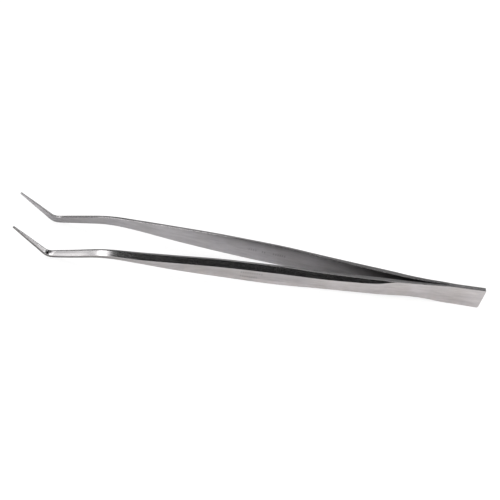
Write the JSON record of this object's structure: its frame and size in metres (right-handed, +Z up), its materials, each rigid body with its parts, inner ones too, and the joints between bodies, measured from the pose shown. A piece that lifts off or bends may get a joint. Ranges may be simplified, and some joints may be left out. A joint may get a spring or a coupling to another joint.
{
  "type": "aquascaping tweezers",
  "caption": "Long steel tweezers with sprung arms and fine upturned tips, for planting and trimming in aquariums and ponds.",
  "frame": {"origin": "on the floor under the middle of the bounding box, with the tweezers lying on the lower edges of their arms", "axes": "+X along the tweezers towards the welded rear end, Y across the opening with the right arm at +Y, +Z up across the width of the arms, the way the tips bend"},
  "size_m": [0.27, 0.0344, 0.0169],
  "materials": {
    "arm_steel": "satin ground flats, polished bevels",
    "weld": "fused metal, hidden between the tangs"
  },
  "bodies": {
    "tang": {"left_arm_tang": "arm_steel", "right_arm_tang": "arm_steel", "spot_welds": "weld"},
    "left_arm": {"left_arm_blade": "arm_steel"},
    "right_arm": {"right_arm_blade": "arm_steel"}
  },
  "joints": [
    {"name": "left_arm_flex", "type": "hinge", "parent": "tang", "child": "left_arm", "pos_m": [0.09007, -0.00135, 0.0069], "axis": [0, 0, -1], "range_deg": [0, 3.85], "stiffness_Nm_per_rad": 2.7},
    {"name": "right_arm_flex", "type": "hinge", "parent": "tang", "child": "right_arm", "pos_m": [0.09007, 0.00135, 0.0069], "axis": [0, 0, 1], "range_deg": [0, 3.85], "stiffness_Nm_per_rad": 2.7}
  ]
}
